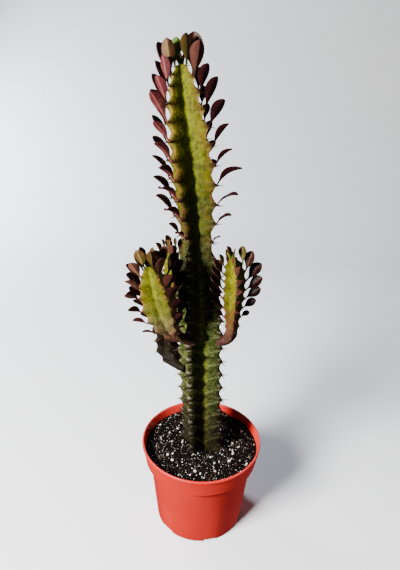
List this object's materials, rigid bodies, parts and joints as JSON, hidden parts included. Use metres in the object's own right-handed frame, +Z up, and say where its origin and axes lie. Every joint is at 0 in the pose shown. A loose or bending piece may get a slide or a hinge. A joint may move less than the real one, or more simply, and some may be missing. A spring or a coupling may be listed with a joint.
{
  "type": "potted euphorbia",
  "caption": "Tall ribbed succulent stem with side arms, toothed ribs and upright spoon-shaped leaves, growing in a round tapered plastic nursery pot with a deep collar.",
  "frame": {"origin": "centre of the pot's underside, on the surface that it stands on", "axes": "+Z up along the pot's axis, -Y towards the front of the plant, +X to its right as seen from the front"},
  "size_m": [0.1572, 0.152, 0.5908],
  "materials": {
    "pot_plastic": "satin",
    "potting_mix": "matte",
    "stem": "satin",
    "leaf": "satin"
  },
  "bodies": {
    "root": {"arm_back_left": "stem", "arm_front_left": "stem", "arm_right": "stem", "leaf_arm_back_left_front_left_01": "leaf", "leaf_arm_front_left_back_left_01": "leaf", "leaf_arm_front_left_back_left_02": "leaf", "leaf_arm_front_left_front_left_01": "leaf", "leaf_arm_front_left_front_left_02": "leaf", "leaf_arm_front_left_front_left_03": "leaf", "leaf_arm_front_left_front_left_04": "leaf", "leaf_arm_front_left_front_left_05": "leaf", "leaf_arm_front_left_front_right_01": "leaf", "leaf_arm_right_back_right_01": "leaf", "leaf_arm_right_back_right_02": "leaf", "leaf_arm_right_back_right_03": "leaf", "leaf_main_back_left_01": "leaf", "leaf_main_back_left_02": "leaf", "leaf_main_back_left_03": "leaf", "leaf_main_back_left_04": "leaf", "leaf_main_back_left_05": "leaf", "leaf_main_back_left_06": "leaf", "leaf_main_back_left_07": "leaf", "leaf_main_back_left_08": "leaf", "leaf_main_back_left_09": "leaf", "leaf_main_back_left_10": "leaf", "leaf_main_back_left_11": "leaf", "leaf_main_back_right_01": "leaf", "leaf_main_back_right_02": "leaf", "leaf_main_back_right_03": "leaf", "leaf_main_back_right_04": "leaf", "leaf_main_back_right_05": "leaf", "leaf_main_back_right_06": "leaf", "leaf_main_back_right_07": "leaf", "leaf_main_back_right_08": "leaf", "leaf_main_back_right_09": "leaf", "leaf_main_front_left_01": "leaf", "leaf_main_front_left_02": "leaf", "leaf_main_front_left_03": "leaf", "leaf_main_front_left_04": "leaf", "leaf_main_front_left_05": "leaf", "leaf_main_front_left_06": "leaf", "leaf_main_front_left_07": "leaf", "leaf_main_front_left_08": "leaf", "leaf_main_front_left_09": "leaf", "leaf_main_front_left_10": "leaf", "leaf_main_front_left_11": "leaf", "leaf_main_front_right_01": "leaf", "leaf_main_front_right_02": "leaf", "leaf_main_front_right_03": "leaf", "leaf_main_front_right_04": "leaf", "leaf_main_front_right_05": "leaf", "leaf_main_front_right_06": "leaf", "leaf_main_front_right_07": "leaf", "leaf_main_front_right_08": "leaf", "leaf_main_front_right_09": "leaf", "leaf_main_front_right_10": "leaf", "leaf_main_front_right_11": "leaf", "main_stem": "stem", "pot": "pot_plastic", "potting_mix": "potting_mix"}
  },
  "joints": []
}
